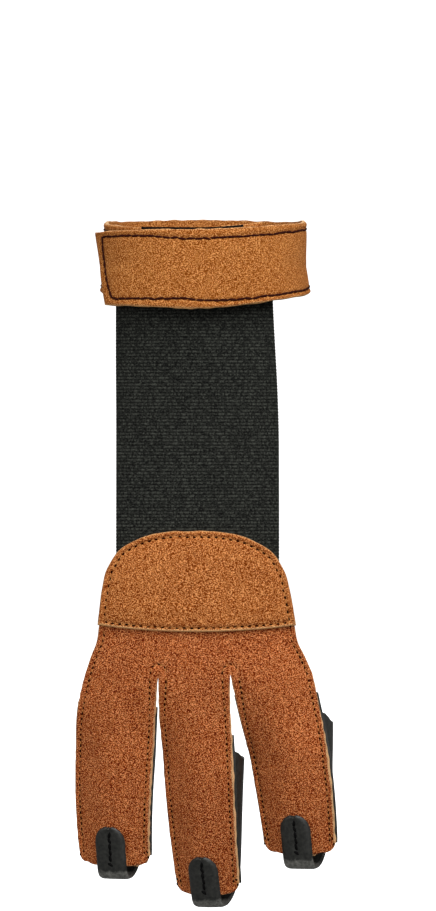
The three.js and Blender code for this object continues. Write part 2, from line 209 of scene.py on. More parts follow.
def cut_sheet(name, patches, finishes, node_name):
    """A sheet of cloth or hide. Each patch has columns, rows, net (where its points lie in its
    own millimetres), face (that place on the object), and the heights low and high between
    which the stuff lies there. Patches share their joining points."""
    bm = bmesh.new()
    layers = [bm.verts.layers.float.new(key) for key in ("patch", "p", "q", "outer")]
    uv = bm.loops.layers.uv.new("UVMap")
    for number, patch in enumerate(patches):
        made = bmesh.ops.create_grid(
            bm, x_segments=patch["columns"], y_segments=patch["rows"], size=0.5
        )["verts"]
        across = np.array([v.co.x for v in made]) + 0.5
        down = 0.5 - np.array([v.co.y for v in made])
        p, q = patch["net"](across, down)
        for v, place, a, b in zip(made, patch["face"](p, q), p, q):
            v.co = place
            v[layers[0]], v[layers[1]], v[layers[2]] = number, a, b
    bmesh.ops.remove_doubles(bm, verts=bm.verts, dist=0.01)
    for face in bm.faces:
        for loop in face.loops:
            p, q = loop.vert[layers[1]], loop.vert[layers[2]]
            loop[uv].uv = (p / uv_width + 0.5, -q / uv_length)
    skin = bmesh.ops.extrude_face_region(bm, geom=bm.faces[:], use_keep_orig=True)["geom"]
    for item in skin:
        if isinstance(item, bmesh.types.BMVert):
            item[layers[3]] = 1
    for face in bm.faces:
        sides = {round(v[layers[3]]) for v in face.verts}
        face.material_index = 1 if len(sides) == 2 else 0
    mesh = bpy.data.meshes.new(name)
    bmesh.ops.recalc_face_normals(bm, faces=bm.faces)
    bm.to_mesh(mesh)
    bm.free()
    count = len(mesh.vertices)
    number, p, q, outer = (np.zeros(count) for _ in range(4))
    for key, values in (("patch", number), ("p", p), ("q", q), ("outer", outer)):
        mesh.attributes[key].data.foreach_get("value", values)
    place, cut = np.zeros((count, 3)), np.zeros(count)
    for k, patch in enumerate(patches):
        own = np.round(number) == k
        a, b = p[own], q[own]
        height = np.where(outer[own] > 0.5, patch["high"](a, b), patch["low"](a, b))
        place[own] = patch["face"](a, b) + outward(patch["face"], a, b) * height[:, None]
        if "cut" in patch:
            cut[own] = patch["cut"](a, b)
    mesh.vertices.foreach_set("co", (place * 0.001).ravel())
    for key in ("patch", "p", "q", "outer"):
        mesh.attributes.remove(mesh.attributes[key])
    mesh.attributes.new("cut", "FLOAT", "POINT").data.foreach_set("value", cut)
    mesh.update()
    whole = bmesh.new()
    whole.from_mesh(mesh)
    if whole.calc_volume(signed=True) < 0:
        bmesh.ops.reverse_faces(whole, faces=whole.faces)
        whole.to_mesh(mesh)
    whole.free()
    mesh.shade_smooth()
    mesh.set_sharp_from_angle(angle=math.radians(50))
    for finish in finishes:
        mesh.materials.append(finish)
    piece = bpy.data.objects.new(name, mesh)
    scene.collection.objects.link(piece)
    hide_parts(node_name)
    return piece


def web_net(across, down):
    q = mix(-web_top, -web_end, down)
    spread = web_spread * ease(0, 0.6, down)
    side = across - 0.5
    edge = ease(0.46, 0.5, np.abs(side)) * np.sign(side)
    scallop = 0.16 * np.cos(q * 2 * math.pi / web_rib) * edge
    return web_centre + (web_width + spread) * side + spread / 2 + scallop, q


def back_face(p, q):
    return on_back(p, -q)


def web_height(p, q):
    down = (q + web_top) / (web_top - web_end)
    spread = web_spread * ease(0, 0.6, down)
    left = p - (web_centre - web_width / 2)
    right = web_centre + web_width / 2 + spread - p
    edge = np.minimum(left, right)
    rib = 0.14 * np.abs(np.sin(q * math.pi / web_rib)) - 0.07
    firm = np.exp(-(((edge - web_selvedge) / 0.3) ** 2))
    round_off = 0.5 * np.clip(1 - edge / 0.5, 0, 1) ** 2
    return webbing - 0.12 + rib - 0.16 * firm - round_off + uneven(p, q, 4, 22, 0.12)


def noise(tree, place, scale, detail, roughness=0.5):
    inputs = {"Vector": place, "Scale": scale, "Detail": detail, "Roughness": roughness}
    return node(tree, "TexNoise", inputs).outputs["Fac"]


def product(tree, a, b):
    return node(tree, "Math", {0: a, 1: b}, operation="MULTIPLY").outputs[0]


def scaled(tree, value, gain, plus):
    return node(tree, "Math", {0: value, 1: gain, 2: plus}, operation="MULTIPLY_ADD").outputs[0]


def ranged(tree, value, low, high):
    """0 at a value's low end and 1 at its high end."""
    return node(tree, "MapRange", {"Value": value, "From Min": low, "From Max": high}).outputs[0]


def bumped(tree, height, strength, distance):
    inputs = {"Height": height, "Strength": strength, "Distance": distance}
    return node(tree, "Bump", inputs).outputs["Normal"]


def colour_ramp(tree, value, *stops):
    """The colour at a value, from stops of a position and a colour."""
    made = node(tree, "ValToRGB", {"Fac": value})
    elements = made.color_ramp.elements
    for k, (position, colour) in enumerate((stops[0], stops[-1])):
        elements[k].position, elements[k].color = position, colour
    for position, colour in stops[1:-1]:
        elements.new(position).color = colour
    return made.outputs["Color"]


elastic, tree, shader = blank("black_elastic")
place = node(tree, "UVMap", uv_map="UVMap").outputs["UV"]
cell = node(tree, "VectorMath", {0: place, 1: (0.0045, 0.0042, 1)}, operation="SNAP").outputs[0]
dots = node(tree, "TexWhiteNoise", {"Vector": cell}, noise_dimensions="2D").outputs["Value"]
object_place = node(tree, "TexCoord").outputs["Object"]
drawn = node(tree, "VectorMath", {0: object_place, 1: (0.5, 1, 1)}, operation="MULTIPLY")
yarn = noise(tree, drawn.outputs[0], 4200, 0)
split = node(tree, "SeparateXYZ", {0: place})
turns = product(tree, split.outputs["Y"], math.pi * uv_length / web_rib)
rib = node(tree, "Math", {0: turns}, operation="SINE").outputs[0]
rib = product(tree, rib, rib)
speck = product(tree, ranged(tree, dots, 0.35, 1), rib)
tone = scaled(tree, yarn, 1.3, -0.55)
tone = scaled(tree, speck, 0.62, tone)
tone = scaled(tree, rib, 0.12, tone)
colour = colour_ramp(tree, tone, (0, linear(5, 6, 5)), (1, linear(70, 72, 66)))
fill(shader, {"Base Color": colour, "Roughness": 0.85, "Specular IOR Level": 0.12})
fill(shader, {"Normal": bumped(tree, tone, 0.5, 0.00015)})

web = cut_sheet(
    "elastic",
    [
        {
            "columns": 76,
            "rows": 444,
            "net": web_net,
            "face": back_face,
            "high": web_height,
            "low": lambda p, q: 0.05 + 0 * p,
        }
    ],
    (elastic, elastic),
    "elastic_web",
)
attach(web, "root")

# Yoke. A domed patch of tan suede over the end of the elastic and the top of the finger panel,
# sewn all round with a thread of its own colour. Its lower edge is raw and fuzzy, and its pale
# band is partly the raw edge's colour and partly painted light.
suede = 1.4
clearance = 0.3
yoke_width, yoke_centre, yoke_seam, yoke_height = 62, -0.95, 115, 29.8
yoke_sag, yoke_lean = 1.9, -0.8
yoke_dome = (
    (0, 1), (0.2, 0.97), (0.4, 0.94), (0.6, 0.885),
    (0.79, 0.76), (0.91, 0.58), (0.97, 0.41), (1, 0.2),
)  # fmt: skip
yoke_under = suede + clearance
seam_inset = 1.9
hem_shift = 0.65
hem_run = 3
row_depth = 0.36


def crowd(across, share=0.45):
    """Moves even shares towards both edges, where the shape needs more points."""
    return mix(across, 0.5 - 0.5 * np.cos(across * math.pi), share)


def yoke_net(across, down):
    up = 1 - crowd(down, 0.3)
    side = crowd(across) * 2 - 1
    half = yoke_width / 2 * follow(yoke_dome, up)
    sag = yoke_sag * (1 - side * side) * (1 - ease(0, 0.5, up))
    rough = uneven(3 * side, 22 * up, 17, 4, 0.4) * ease(0.7, 1, np.maximum(np.abs(side), up))
    return yoke_centre + yoke_lean * up + half * side, yoke_seam - yoke_height * up + sag + rough


def outline_of(net, steps=160):
    """The edge of a patch as a closed line, from its upper corner on the left."""
    t = np.linspace(0, 1, steps)
    sides = [(t, 0 * t), (1 + 0 * t, t), (1 - t, 1 + 0 * t), (0 * t, 1 - t)]
    return np.concatenate([np.stack(net(a, b), -1)[:-1] for a, b in sides])


def nearest(points, p, q):
    """Distance of each place to a line of points."""
    start, end = points, np.roll(points, -1, axis=0)
    run = end - start
    at = np.stack((p, q), -1)[:, None, :] - start
    share = np.clip((at * run).sum(-1) / np.maximum((run * run).sum(-1), 1e-9), 0, 1)
    return np.sqrt((((at - run * share[..., None])) ** 2).sum(-1).min(1))


yoke_edge = outline_of(yoke_net)


def sewn(edge, inset, depth=0.42, width=0.5):
    """How far a row of stitches pulls the hide down, with a low swell on its outer side."""
    groove = depth * np.exp(-(((edge - inset) / width) ** 2))
    return groove - 0.12 * np.exp(-(((edge - inset * 0.4) / 0.5) ** 2))


def yoke_high(p, q):
    edge = nearest(yoke_edge, p, q)
    fall = 0.5 * np.clip(1 - edge / 0.5, 0, 1) ** 2
    lower = ease(yoke_seam - hem_run, yoke_seam, q)
    inset = seam_inset - hem_shift * lower
    fall = fall + 0.3 * lower * np.clip(1 - edge / 0.9, 0, 1)
    return yoke_under + suede - sewn(edge, inset) - fall + uneven(p, q, 7, 11, 0.14)


def yoke_cut(p, q):
    edge = nearest(yoke_edge, p, q)
    lower = ease(yoke_seam - hem_run, yoke_seam, q)
    # The broad pale band along the hem is partly the raw edge's colour and partly painted light on
    # a band that slopes downwards.
    return np.maximum(
        0.95 * lower * (1 - ease(0.35, 1.1, edge)), 0.5 * (1 - ease(0.1, 0.5, edge))
    )


nap = bpy.data.node_groups.new("suede_nap", "ShaderNodeTree")
for name, way, kind in (
    ("Place", "INPUT", "Vector"),
    ("Cut", "INPUT", "Float"),
    ("Tone", "OUTPUT", "Float"),
    ("Edge", "OUTPUT", "Float"),
    ("Height", "OUTPUT", "Float"),
):
    nap.interface.new_socket(name, in_out=way, socket_type="NodeSocket" + kind)
into = nap.nodes.new("NodeGroupInput").outputs
out = nap.nodes.new("NodeGroupOutput").inputs
combed = node(nap, "VectorMath", {0: into["Place"], 1: (0.65, 1, 1)}, operation="MULTIPLY")
flecks = noise(nap, combed.outputs[0], 4400, 0)
crumbs = noise(nap, into["Place"], 2900, 1, 0.6)
tone = scaled(nap, flecks, 5.6, -3.25)
tone = scaled(nap, crumbs, 1.3, tone)
tone = scaled(nap, noise(nap, into["Place"], 260, 3), 0.3, tone)
tone = scaled(nap, noise(nap, into["Place"], 55, 1), 0.35, tone)
nap.links.new(tone, out["Tone"])
frayed = scaled(nap, ranged(nap, flecks, 0.35, 0.65), 0.8, -0.4)
edge = node(nap, "Math", {0: into["Cut"], 1: frayed}).outputs[0]
nap.links.new(ranged(nap, edge, 0.2, 0.75), out["Edge"])
nap.links.new(node(nap, "Math", {0: flecks, 1: crumbs}).outputs[0], out["Height"])


def suede_finish(name, *tones):
    """Napped hide in a dark, a middle and a light tone, with its cut edge in the raw one. The raw
    tone is partly the cut edge's own paler colour and partly painted highlight.
    """
    dark, middle, light, raw = (linear(*tone) for tone in tones)
    finish, tree, shader = blank(name)
    place = node(tree, "TexCoord").outputs["Object"]
    cut = node(tree, "Attribute", attribute_name="cut").outputs["Fac"]
    texture = node(tree, "Group", {"Place": place, "Cut": cut}, node_tree=nap).outputs
    face = colour_ramp(tree, texture["Tone"], (0.08, dark), (0.56, middle), (1, light))
    # Cut edges take the raw tone: their own paler colour, lightened further as painted highlight.
    colour = node(tree, "Mix", {0: texture["Edge"], 6: face, 7: raw}, data_type="RGBA")
    fill(shader, {"Base Color": colour.outputs[2], "Roughness": 0.95, "Specular IOR Level": 0.15})
    fill(shader, {"Sheen Weight": 0.12, "Sheen Roughness": 0.6, "Sheen Tint": light})
    fill(shader, {"Normal": bumped(tree, texture["Height"], 0.45, 0.00025)})
    return finish


tan_suede = suede_finish(
    "tan_suede", (110, 42, 0), (159, 80, 22), (222, 140, 74), (236, 180, 120)
)
# Rim finish of the cut suede: the raw edge's own pale tan, made paler still as painted highlight on
# rims that face down or away from the lamps.
lit_raw_tan = suede_finish(
    "lit_raw_tan", (184, 130, 82), (226, 178, 126), (248, 218, 176), (238, 194, 142)
)
yoke = cut_sheet(
    "yoke_suede",
    [
        {
            "columns": 130,
            "rows": 70,
            "net": yoke_net,
            "face": back_face,
            "high": yoke_high,
            "low": lambda p, q: yoke_under + 0 * p,
            "cut": yoke_cut,
        }
    ],
    (tan_suede, lit_raw_tan),
    "yoke",
)
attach(yoke, "root")


def thread_finish(name, colour):
    finish, tree, shader = blank(name)
    place = node(tree, "TexCoord").outputs["Object"]
    ply = node(tree, "TexWave", {"Vector": place, "Scale": 900, "Distortion": 2}).outputs["Fac"]
    dim = tuple(value * 0.55 for value in colour[:3]) + (1,)
    shade = node(tree, "Mix", {0: ply, 6: dim, 7: colour}, data_type="RGBA").outputs[2]
    fill(shader, {"Base Color": shade, "Roughness": 0.8, "Specular IOR Level": 0.1})
    return finish


def sew(
    name, rows, finishes, pitch, length, width, sink=0.12, seed=1, hole=0.0, bend=0.5, stray=5
):
    """Stitches along rows of places. Each row is (face, p, q, height): a stitch lies in the
    surface at that height, and its ends go down into needle holes. With a hole size, a dark flat
    disc sits at each hole as painted shade."""
    chance = np.random.default_rng(seed)
    bm = bmesh.new()
    bmesh.ops.create_uvsphere(bm, u_segments=8, v_segments=6, radius=1)
    for v in bm.verts:
        x, y, z = v.co.z, v.co.x, v.co.y
        long = math.copysign(abs(x) ** 0.7, x) * length / 2
        v.co = (long, y * width / 2, z * width / 2 - bend * width * x * x)
    # A dark flat disc between stitches: painted shade for the shadowed needle hole.
    if hole:
        pit = bmesh.ops.create_uvsphere(bm, u_segments=8, v_segments=4, radius=1)["verts"]
        bmesh.ops.scale(bm, vec=(hole, hole * 0.64, 0.16), verts=pit)
        bmesh.ops.translate(bm, vec=(pitch / 2, 0, sink), verts=pit)
        for f in {f for v in pit for f in v.link_faces}:
            f.material_index = 1
    bmesh.ops.scale(bm, vec=(0.001, 0.001, 0.001), verts=bm.verts)
    bmesh.ops.recalc_face_normals(bm, faces=bm.faces)
    one = bpy.data.meshes.new(name)
    bm.to_mesh(one)
    bm.free()
    one.shade_smooth()
    for finish in finishes:
        one.materials.append(finish)
    made = []
    for face, p, q, height in rows:
        line = face(p, q) + outward(face, p, q) * height
        run = np.concatenate(([0], np.cumsum(np.linalg.norm(np.diff(line, axis=0), axis=1))))
        count = max(int(round(run[-1] / pitch)), 1)
        at = (np.arange(count) + 0.5) * run[-1] / count
        middle, ahead, behind = (
            np.stack([np.interp(at + move, run, line[:, k]) for k in range(3)], -1)
            for move in (0, 0.3, -0.3)
        )
        ups = outward(face, np.interp(at, run, p), np.interp(at, run, q))
        for centre, tangent, up in zip(middle, unit(ahead - behind), ups):
            turn = math.radians(chance.normal(0, stray))
            lie = tangent * math.cos(turn) + np.cross(up, tangent) * math.sin(turn)
            axes = Matrix((lie * chance.uniform(0.93, 1.06), np.cross(up, lie), up)).transposed()
            stitch = bpy.data.objects.new(name, one if made else one.copy())
            scene.collection.objects.link(stitch)
            place = Matrix.Translation(Vector(centre - up * sink) * 0.001) @ axes.to_4x4()
            stitch.matrix_world = place
            made.append(stitch)
    bpy.context.view_layer.update()
    with bpy.context.temp_override(
        active_object=made[0], object=made[0], selected_editable_objects=made
    ):
        bpy.ops.object.join()
    piece = made[0]
    piece.data.transform(piece.matrix_world)
    piece.matrix_world = Matrix.Identity(4)
    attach(piece, "root")
    return piece


ochre_thread = thread_finish("ochre_thread", linear(216, 146, 78))
dark_thread = thread_finish("dark_thread", linear(58, 18, 8))
# Needle holes: a near-black matte finish for the small discs, painted shade standing for the shadow
# inside each hole.
needle_hole_shade, _, shader = blank("needle_hole_shade")
fill(shader, {"Base Color": linear(30, 12, 4), "Roughness": 1, "Specular IOR Level": 0})


def inset_line(outline, inset, steps=400):
    """A closed outline moved inwards, its corners softened."""
    total = outline
    for _ in range(6):
        total = (np.roll(total, 1, 0) + total + np.roll(total, -1, 0)) / 3
    run = np.concatenate(([0], np.cumsum(np.linalg.norm(np.diff(total, axis=0), axis=1))))
    at = np.linspace(0, run[-1], steps)
    line = np.stack([np.interp(at, run, total[:, k]) for k in range(2)], -1)
    way = unit(np.roll(line, -1, 0) - np.roll(line, 1, 0))
    return line + np.stack((-way[:, 1], way[:, 0]), -1) * inset


yoke_line = inset_line(yoke_edge, seam_inset)
yoke_line[:, 1] += hem_shift * ease(yoke_seam - 4, yoke_seam - 2, yoke_line[:, 1])
sew(
    "yoke_stitches",
    [(back_face, yoke_line[:, 0], yoke_line[:, 1], yoke_under + suede - row_depth)],
    (ochre_thread, needle_hole_shade),
    pitch=2.3,
    length=1.45,
    width=0.52,
    seed=3,
    hole=0.56,
)

# Finger panel. One piece of russet suede with two slits, so that three strips lie over the backs
# of the fingers. It is sewn under the yoke, and a row of stitches runs just inside each edge.
panel_tuck, panel_tuck_inset, slit_drop = 5, 1.4, 15.6
arch_half, arch_rise = 2.5, 3.1
panel_spread = ((0, 0), (0.35, 0.18), (0.65, 0.58), (1, 1))
root_left = -36.4
finger_crown, finger_twist, frame_run, tip_corner = 3.4, 14, 30, 3.2
strip_belly = ((0, 0), (0.2, 0.75), (0.4, 1), (0.65, 1), (0.88, 1), (1, 1))
strip_taper = ((0, 1), (0.2, 1), (0.4, 1), (0.65, 0.975), (0.88, 0.93), (1, 0.9))
keys = (
    "name", "length", "root", "belly", "lean", "bow",
    "stall", "tongue", "flare", "flare_fall", "drop", "loop_lean",
)  # fmt: skip
fingers = [
    dict(zip(keys, values))
    for values in (
        ("ring", 63.4, 23.2, 25.6, -3.4, -2.0, 42.5, 10, 0.7, 2, 6, 0.4),
        ("middle", 73.2, 22.8, 22.9, 4, -1.1, 42.5, 10, 3.8, 0.7, 5.8, 1.7),
        ("index", 59.5, 26.2, 25.8, 9.2, 1, 39, 13.5, 3.8, 2.5, 6.7, 1.2),
    )
]
slit_z = -(yoke_seam + slit_drop)
edge_reached = root_left
for finger in fingers:
    finger["left"] = edge_reached
    finger["centre"] = edge_reached + finger["root"] / 2
    edge_reached += finger["root"]
root_right = edge_reached


def full_half(finger, down):
    share = down / finger["length"]
    wide = mix(finger["root"], finger["belly"], follow(strip_belly, share))
    return wide * follow(strip_taper, share) / 2


def half_strip(finger, down):
    corner = np.clip((down - finger["length"] + tip_corner) / tip_corner, 0, 1)
    return full_half(finger, down) - tip_corner * (1 - np.sqrt(1 - corner * corner))


def crown_share(finger, side, down):
    return np.minimum(np.abs(side) / full_half(finger, down), 1)


def crown_fall(finger, side, down):
    share = crown_share(finger, side, down)
    return finger_crown * share**2 * (2 - share**2)


def spine(finger, down):
    share = down / finger["length"]
    x = finger["centre"] + finger["lean"] * share + finger["bow"] * 4 * share * (1 - share)
    return on_back(x, slit_z - down)


def finger_frame(finger, down):
    """Origin on a finger's back, along it, across to the thumb side, and deep to the palm."""
    along = unit(spine(finger, down + 1) - spine(finger, down - 1))
    twist = math.radians(finger_twist) * ease(0, frame_run, down)
    across = np.stack((np.cos(twist), -np.sin(twist), 0 * twist), -1)
    across = unit(across - along * (across * along).sum(-1, keepdims=True))
    return spine(finger, down), along, across, np.cross(across, along)


def on_finger(finger, side, down):
    """Points on the back of a finger, by distance from its middle and from the slit."""
    side, down = np.broadcast_arrays(np.asarray(side, float), np.asarray(down, float))
    flat = np.minimum(down, finger["length"])
    origin, along, across, deep = finger_frame(finger, flat)
    own = origin + across * side[..., None]
    own = own + deep * crown_fall(finger, side, flat)[..., None]
    shared = on_back(origin[..., 0] + side, origin[..., 2])
    point = mix(shared, own, ease(0, frame_run, flat)[..., None])
    return point + along * (down - flat)[..., None]


def in_finger(finger, side, depth, down):
    """Points at a depth below the level of a finger's middle line."""
    side, down = np.broadcast_arrays(np.asarray(side, float), np.asarray(down, float))
    flat = np.minimum(down, finger["length"])
    deep = finger_frame(finger, flat)[3]
    below = depth - crown_fall(finger, side, flat)
    return on_finger(finger, side, down) + deep * below[..., None]


def body_net(finger):
    def net(across, down):
        q = mix(yoke_seam - panel_tuck, yoke_seam + slit_drop, down)
        opened = follow(panel_spread, (q - yoke_seam) / slit_drop)
        x = finger["left"] + finger["root"] * crowd(across)
        share = (x - root_left) / (root_right - root_left)
        inset = panel_tuck_inset * np.maximum((yoke_seam - q) / panel_tuck, 0)
        left = mix(yoke_centre - yoke_width / 2, root_left, opened) + inset
        right = mix(yoke_centre + yoke_width / 2, root_right, opened) - inset
        return mix(left, right, share), q

    return net


def body_edge(p, q):
    """Distance in from the panel's two sides above the slits, and which side is nearer."""
    opened = follow(panel_spread, (q - yoke_seam) / slit_drop)
    left = p - mix(yoke_centre - yoke_width / 2, root_left, opened)
    right = mix(yoke_centre + yoke_width / 2, root_right, opened) - p
    return left, right


def slit_row(down):
    """How far the stitches run from a slit's edge."""
    return mix(arch_half, seam_inset, ease(0, 14, down))


def over_slits(p, q):
    """The rows beside each slit meet in an arch over its top."""
    total = 0
    for finger in fingers[1:]:
        rise = np.maximum(yoke_seam + slit_drop - q, 0)
        away = np.hypot((p - finger["left"]) / arch_half, rise / arch_rise)
        total = total + sewn(arch_half * away, arch_half)
    return total


def body_high(p, q):
    left, right = body_edge(p, q)
    fall = 0.45 * np.clip(1 - np.minimum(left, right) / 0.5, 0, 1) ** 2
    fall = fall + 0.35 * np.clip(1 - right / 0.5, 0, 1)
    pulled = sewn(left, seam_inset) + sewn(right, seam_inset) + over_slits(p, q)
    return suede - pulled - fall + uneven(p, q, 9, 13, 0.15)


def strip_parts(finger):
    """The net, place, height and cut edge of one strip."""

    def net(across, down):
        eased = finger["length"] * (1 - (1 - down) ** 1.12)
        side = crowd(across) * 2 - 1
        seed = 20 + fingers.index(finger)
        rim = ease(0.86, 1, np.abs(side)) * ease(0, 6, eased)
        p = half_strip(finger, eased) * side + uneven(9 * side, eased, seed, 4.5, 0.3) * rim
        end = ease(finger["length"] - 3.5, finger["length"], eased)
        return p, eased + uneven(p, 0 * p, seed, 4.5, 1.3) * end

    def face(p, q):
        return on_finger(finger, p, q)

    def edges(p, q):
        half = half_strip(finger, q)
        tip = finger["length"] - q
        return p + half, half - p, tip

    def high(p, q):
        left, right, tip = edges(p, q)
        at_left = 1 if finger is fingers[0] else ease(0, 4, q)
        at_right = 1 if finger is fingers[-1] else ease(0, 4, q)
        fall = 0.45 * np.clip(1 - left / 0.5, 0, 1) ** 2 * at_left
        fall = fall + 0.45 * np.clip(1 - right / 0.5, 0, 1) ** 2 * at_right
        fall = fall + 0.45 * np.clip(1 - tip / 0.5, 0, 1) ** 2
        fall = fall + 0.35 * np.clip(1 - right / 0.5, 0, 1) * at_right
        ends = 1 - ease(finger["length"] - 3, finger["length"] - 1.5, q)
        left_row = seam_inset if finger is fingers[0] else slit_row(q)
        right_row = seam_inset if finger is fingers[-1] else slit_row(q)
        pulled = (sewn(left, left_row) + sewn(right, right_row)) * ends
        swell = uneven(finger["centre"] + p, q + yoke_seam + slit_drop, 9, 13, 0.15)
        return suede - pulled - fall + swell

    def cut(p, q):
        left, right, tip = edges(p, q)
        # The right edge gets a stronger, wider pale band than the left edge and the tip: partly the
        # raw edge's colour, partly painted highlight on the lit side.
        pale = 0.95 * (1 - ease(0.1, 0.6, right + uneven(q, 0 * q, 5, 5, 0.3)))
        thin = 0.6 * (1 - ease(0.1, 0.5, np.minimum(left, tip)))
        return np.maximum(pale, thin) * (1 if finger is fingers[-1] else ease(0, 6, q))

    return {"net": net, "face": face, "high": high, "cut": cut}


def body_cut(p, q):
    left, right = body_edge(p, q)
    # The right edge's pale band is stronger than the left's: partly the raw edge's colour, partly
    # painted highlight on the lit side.
    return np.maximum(0.95 * (1 - ease(0.1, 0.6, right)), 0.6 * (1 - ease(0.1, 0.5, left)))


russet_suede = suede_finish(
    "russet_suede", (100, 26, 0), (157, 66, 16), (230, 132, 68), (240, 188, 134)
)
patches = []
for finger in fingers:
    patches.append(
        {
            "columns": 48,
            "rows": 40,
            "net": body_net(finger),
            "face": back_face,
            "high": body_high,
            "low": lambda p, q: 0 * p,
            "cut": body_cut,
        }
    )
    strip = strip_parts(finger)
    patches.append({"columns": 48, "rows": 136, "low": lambda p, q: 0 * p, **strip})
panel = cut_sheet(
    "panel_suede",
    patches,
    (russet_suede, lit_raw_tan),
    "finger_panel",
)
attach(panel, "root")

panel_rows = []
for finger in fingers:
    down = np.linspace(0.6, finger["length"] - 2.2, 120)
    face = strip_parts(finger)["face"]
    half = half_strip(finger, down)
    for hand in (-1, 1):
        spread = slit_row(down)
        if (finger is fingers[0] and hand < 0) or (finger is fingers[-1] and hand > 0):
            spread = seam_inset + 0 * down
        panel_rows.append((face, hand * (half - spread), down, suede - row_depth))
        back = (down > finger["length"] - 6.5) & (down < finger["length"] - 2.4)
        side = hand * (half - spread + 0.6 + 0.25 * (down - finger["length"] + 6.5))
        panel_rows.append((face, side[back], down[back], suede + 0.04))
for finger in fingers[1:]:
    over = np.linspace(0.12, math.pi - 0.12, 30)
    x = finger["left"] + arch_half * np.cos(over)
    q = yoke_seam + slit_drop - arch_rise * np.sin(over)
    panel_rows.append((back_face, x, q, suede - row_depth))
for hand in (-1, 1):
    q = np.linspace(yoke_seam + 1.5, yoke_seam + slit_drop, 40)
    opened = follow(panel_spread, (q - yoke_seam) / slit_drop)
    edge = root_left if hand < 0 else root_right
    side = mix(yoke_centre + hand * yoke_width / 2, edge, opened)
    panel_rows.append((back_face, side - hand * seam_inset, q, suede - row_depth))
sew(
    "panel_stitches",
    panel_rows,
    (ochre_thread, needle_hole_shade),
    pitch=1.9,
    length=1.1,
    width=0.56,
    seed=5,
    hole=0.52,
)

# Wrist strap. One long band of tan suede round the wrist, its free end lapped over the back and
# held by the tapes inside it. Dark thread runs round it, a little inside the edges.
tape = 0.8
strap_width, strap_palm_width, strap_narrowing = 25.3, 22.6, 120
strap_free_end, strap_inner_end, strap_slant, strap_slant_run = -75, 408, 11, 60
strap_lap_end, strap_lap_run = 52, 110
strap_climb_start, strap_climb_end = 250, 290
strap_back_centre, strap_rise, strap_palm_rise, strap_end_rise = -1.65, 5.5, 2, 1.2
strap_lift, strap_lift_start, strap_lift_end = 2.2, 270, 400
inner_turn = webbing + clearance
loop_seat = inner_turn + suede + clearance
hook_seat = loop_seat + tape + clearance
outer_turn = hook_seat + tape + clearance
top_row = ((4, 1.9), (12, 2), (20, 2.3), (29, 3.1), (43, 3), (59, 2.9), (70, 2.6), (82, 2.5))
bottom_row = ((4, 2.3), (12, 2.6), (20, 2.9), (29, 3.2), (36, 2.7), (43, 2.3), (60, 1.9), (82, 2.3))
end_row = ((0, 3.7), (0.25, 2.8), (0.5, 2.4), (0.75, 2.4), (1, 3))
strap_degree = 0.47


def round_wrist(angle, z, out):
    """Points round the wrist at a distance from the skin. Angle 0 is the back of the wrist."""
    wide, deep = hand_section(z)
    across, front = np.sin(np.radians(angle)), np.cos(np.radians(angle))
    total = np.abs(across / wide) ** squareness + np.abs(front / deep) ** squareness
    x, y = across * total ** (-1 / squareness), -front * total ** (-1 / squareness)
    way = np.stack(
        (
            np.sign(x) * np.abs(x / wide) ** (squareness - 1) / wide,
            np.sign(y) * np.abs(y / deep) ** (squareness - 1) / deep,
            0 * x,
        ),
        -1,
    )
    return np.stack(np.broadcast_arrays(x, y, z), -1) + unit(way) * np.asarray(out)[..., None]


def strap_centre(angle):
    """Height of the strap's middle line."""
    front = np.cos(np.radians(angle))
    rise = np.where(angle < 0, strap_end_rise, strap_rise) * (1 - np.maximum(front, 0))
    palm = strap_palm_rise * np.maximum(-front, 0)
    lift = strap_lift * ease(strap_lift_start, strap_lift_end, angle)
    return strap_back_centre + rise + palm + lift


def strap_seat(angle):
    """Distance of the strap's inner face from the skin."""
    skin = mix(outer_turn, 0, ease(strap_lap_end, strap_lap_end + strap_lap_run, angle))
    return mix(skin, inner_turn, ease(strap_climb_start, strap_climb_end, angle))


def strap_face(p, q):
    """p is the distance round the strap from its free end, q the distance down from its top."""
    flat = strap_free_end + p / strap_degree
    down = q / strap_width
    slant = strap_slant * (1 - ease(0, strap_slant_run, flat - strap_free_end))
    angle = flat + slant * down
    width = mix(strap_width, strap_palm_width, ease(0, strap_narrowing, np.abs(angle)))
    z = strap_centre(angle) + width * (0.5 - down)
    return round_wrist(angle, z, strap_seat(angle))


strap_length = (strap_inner_end - strap_free_end) * strap_degree


def strap_net(along, down):
    p = along * strap_length
    rim = ease(0.8, 1, np.abs(2 * down - 1))
    return p, crowd(down, 0.4) * strap_width + uneven(p, 0 * p, 16, 7, 0.35) * rim


def strap_edges(p, q):
    return q, strap_width - q, p, strap_length - p


def strap_rows(p, q):
    """How far in the three rows of stitches lie: from the top, the bottom and the free end."""
    return follow(top_row, p), follow(bottom_row, p), follow(end_row, q / strap_width)


def strap_high(p, q):
    top, bottom, free, inner = strap_edges(p, q)
    near = np.minimum(np.minimum(top, bottom), np.minimum(free, inner))
    fall = 0.5 * np.clip(1 - near / 0.5, 0, 1) ** 2
    ins = strap_rows(p, q)
    rows = np.minimum(np.minimum(top - ins[0], bottom - ins[1]), free - ins[2])
    return suede - sewn(rows + 2.5, 2.5, 0.3, 0.6) - fall + uneven(p, q, 12, 14, 0.14)


def strap_cut(p, q):
    top, bottom, free, _ = strap_edges(p, q)
    thin = 0.6 * (1 - ease(0.1, 0.5, np.minimum(top, free)))
    # The pale band along the bottom edge is partly the raw edge's colour and partly painted light,
    # standing for light on an edge that faces downwards.
    return np.maximum(0.95 * (1 - ease(0.1, 0.65, bottom)), thin)


